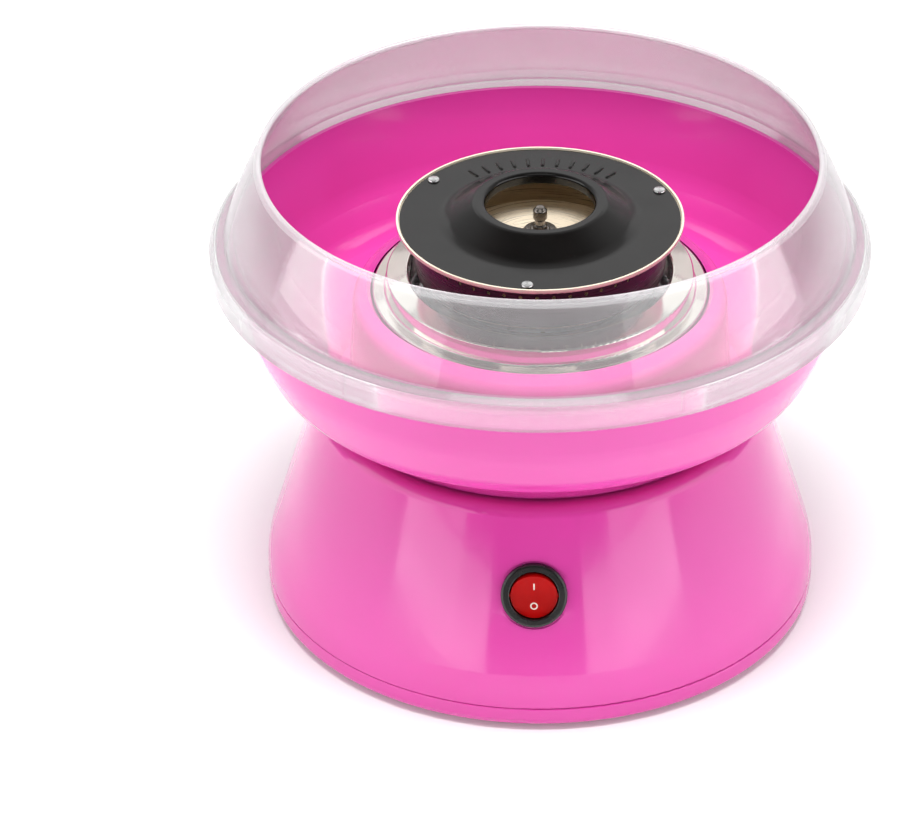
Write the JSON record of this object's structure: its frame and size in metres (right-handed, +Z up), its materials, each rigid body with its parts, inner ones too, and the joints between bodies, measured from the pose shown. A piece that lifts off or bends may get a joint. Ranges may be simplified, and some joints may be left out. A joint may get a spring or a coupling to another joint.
{
  "type": "cotton candy machine",
  "caption": "Countertop cotton candy machine with a flared base, a rocker switch, a spinning heated head, a lift-off bowl and a clear splash ring.",
  "frame": {"origin": "on the table, under the middle of the machine", "axes": "+Z up along the spin axis; the switch faces -Y; +X to the right seen from the front"},
  "size_m": [0.265, 0.265, 0.1995],
  "materials": {
    "pink_body": "glossy hot pink moulded plastic",
    "pink_bowl": "glossy hot pink moulded plastic",
    "clear_ring": "clear, slightly milky moulded plastic",
    "rubber": "soft black rubber",
    "screw_steel": "zinc plated",
    "pan_steel": "polished stainless steel",
    "shield_steel": "mirror polished stainless steel",
    "lid_black": "satin black heat-resistant coating",
    "rivet_metal": "bright aluminium",
    "knob_steel": "turned steel, darkened by heat",
    "black_plastic": "satin black moulded plastic",
    "red_rocker": "glossy translucent red plastic",
    "brass": "bare brass",
    "copper": "enamelled copper",
    "can_steel": "zinc plated steel",
    "iron_core": "laminated electrical steel",
    "ferrite": "dark ferrite",
    "carbon": "carbon",
    "white_nylon": "natural nylon",
    "element_sheath": "heat-tinted steel sheath",
    "circuit_board": "green solder mask",
    "wire_red": "silicone insulation",
    "wire_black": "silicone insulation",
    "wire_white": "glass-fibre sleeved insulation"
  },
  "bodies": {
    "base": {"base_shell": "pink_body", "bottom_cover": "pink_body", "rubber_feet": "rubber", "cover_screws": "screw_steel", "inlet_gland": "rubber", "motor_can": "can_steel", "motor_end_cap": "white_nylon", "motor_bushes": "brass", "motor_magnets": "ferrite", "motor_brushes": "carbon", "brush_arms": "brass", "motor_terminals": "brass", "motor_bracket": "can_steel", "motor_dampers": "rubber", "bracket_screws": "screw_steel", "motor_screws": "screw_steel", "heater_tray": "can_steel", "heater_element": "element_sheath", "heater_saddles": "can_steel", "tray_screws": "screw_steel", "heat_shield": "shield_steel", "switch_body": "black_plastic", "switch_terminals": "brass", "rectifier_board": "circuit_board", "rectifier_diodes": "black_plastic", "board_screws": "screw_steel", "terminal_block": "white_nylon", "terminal_screws": "brass", "thermal_fuse": "white_nylon", "wire_block_to_switch": "wire_black", "wire_switch_to_fuse": "wire_white", "wire_fuse_to_heater": "wire_white", "wire_heater_to_board": "wire_white", "wire_block_to_board": "wire_white", "wire_motor_live": "wire_red", "wire_motor_return": "wire_black"},
    "rotor": {"motor_shaft": "screw_steel", "drive_pin": "screw_steel", "drive_collar": "brass", "collar_set_screw": "screw_steel", "armature_core": "iron_core", "armature_windings": "copper", "commutator": "copper"},
    "head": {"head_pan": "pan_steel", "head_lid": "lid_black", "head_rivets": "rivet_metal", "head_hub": "knob_steel", "hub_nut": "knob_steel", "lift_knob": "knob_steel"},
    "bowl": {"candy_bowl": "pink_bowl"},
    "splash_ring": {"splash_ring": "clear_ring"},
    "rocker": {"switch_rocker": "red_rocker"}
  },
  "joints": [
    {"name": "rotor_spin", "type": "hinge", "parent": "base", "child": "rotor", "pos_m": [0, 0, 0.1], "axis": [0, 0, 1], "continuous": true},
    {"name": "head_lift", "type": "slide", "parent": "rotor", "child": "head", "axis": [0, 0, 1], "range_m": [0, 0.06]},
    {"name": "bowl_lift", "type": "slide", "parent": "base", "child": "bowl", "axis": [0, 0, 1], "range_m": [0, 0.11]},
    {"name": "splash_ring_lift", "type": "slide", "parent": "bowl", "child": "splash_ring", "axis": [0, 0, 1], "range_m": [0, 0.06]},
    {"name": "rocker_tilt", "type": "hinge", "parent": "base", "child": "rocker", "pos_m": [0, -0.10064, 0.05735], "axis": [-1, 0, 0], "range_deg": [0, 20]}
  ]
}
